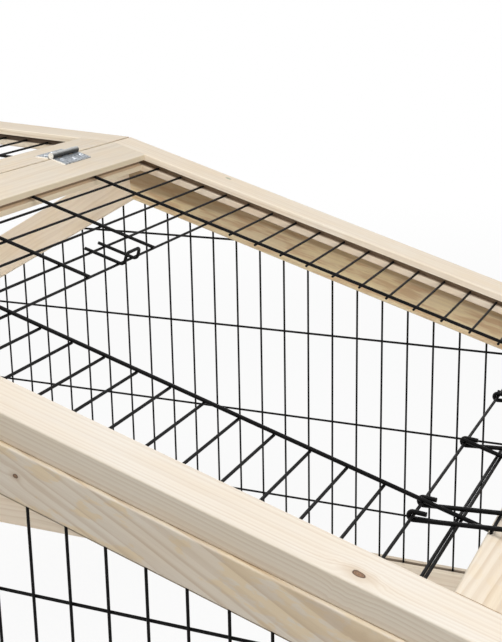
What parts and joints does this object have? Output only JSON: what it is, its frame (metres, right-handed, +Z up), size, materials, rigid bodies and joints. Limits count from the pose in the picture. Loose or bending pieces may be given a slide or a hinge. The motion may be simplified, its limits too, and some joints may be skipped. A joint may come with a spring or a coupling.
{
  "type": "rabbit cage",
  "caption": "Outdoor rabbit cage of pale softwood frames with black wire mesh, an uneven gabled roof, a hinged lid on the short slope and a wire door in the long slope.",
  "frame": {"origin": "on the floor under the middle of the rest pose, from the edge of the lifted lid to the free end of the folded door", "axes": "+Z up, +Y along the ridge towards the back gable, +X towards the slope with the wire door"},
  "size_m": [1.2218, 0.6648, 0.5443],
  "materials": {
    "pine_roof": "planed, unpainted",
    "pine_lid": "planed, unpainted",
    "pine_gable": "planed, unpainted",
    "pine_side": "planed, unpainted",
    "coated_wire": "black powder coat",
    "zinc": "zinc plated",
    "screw_steel": "zinc plated"
  },
  "bodies": {
    "base": {"back_corner_screws": "screw_steel", "back_hinge_pin": "zinc", "back_hinge_roof_leaf": "zinc", "back_left_post": "pine_gable", "back_left_rake_board": "pine_gable", "back_level_wires": "coated_wire", "back_right_post": "pine_gable", "back_right_rake_board": "pine_gable", "back_sill": "pine_gable", "back_upright_wires": "coated_wire", "front_corner_screws": "screw_steel", "front_hinge_pin": "zinc", "front_hinge_roof_leaf": "zinc", "front_left_post": "pine_gable", "front_left_rake_board": "pine_gable", "front_level_wires": "coated_wire", "front_right_post": "pine_gable", "front_right_rake_board": "pine_gable", "front_sill": "pine_gable", "front_upright_wires": "coated_wire", "latch_staple": "coated_wire", "left_back_stile": "pine_side", "left_front_stile": "pine_side", "left_level_wires": "coated_wire", "left_sill": "pine_side", "left_top_rail": "pine_side", "left_upright_wires": "coated_wire", "right_back_stile": "pine_side", "right_front_stile": "pine_side", "right_level_wires": "coated_wire", "right_sill": "pine_side", "right_top_rail": "pine_side", "right_upright_wires": "coated_wire", "roof_back_rake_rail": "pine_roof", "roof_cross_wires": "coated_wire", "roof_eave_rail": "pine_roof", "roof_front_rake_rail": "pine_roof", "roof_hinge_screws": "zinc", "roof_rake_wires": "coated_wire", "roof_ridge_rail": "pine_roof"},
    "lid": {"back_hinge_lid_leaf": "zinc", "front_hinge_lid_leaf": "zinc", "lid_back_rake_rail": "pine_lid", "lid_cross_wires": "coated_wire", "lid_eave_rail": "pine_lid", "lid_front_rake_rail": "pine_lid", "lid_hinge_screws": "zinc", "lid_rake_wires": "coated_wire", "lid_ridge_rail": "pine_lid"},
    "roof_door": {"door_cross_wires": "coated_wire", "door_long_wires": "coated_wire"}
  },
  "joints": [
    {"name": "lid_hinge", "type": "hinge", "parent": "base", "child": "lid", "pos_m": [-0.23688, 0, 0.52141], "axis": [0, 1, 0], "range_deg": [-33.5, 190]},
    {"name": "roof_door_hinge", "type": "hinge", "parent": "base", "child": "roof_door", "pos_m": [0.25771, 0, 0.35091], "axis": [0, -1, 0], "range_deg": [0, 159.1]}
  ]
}
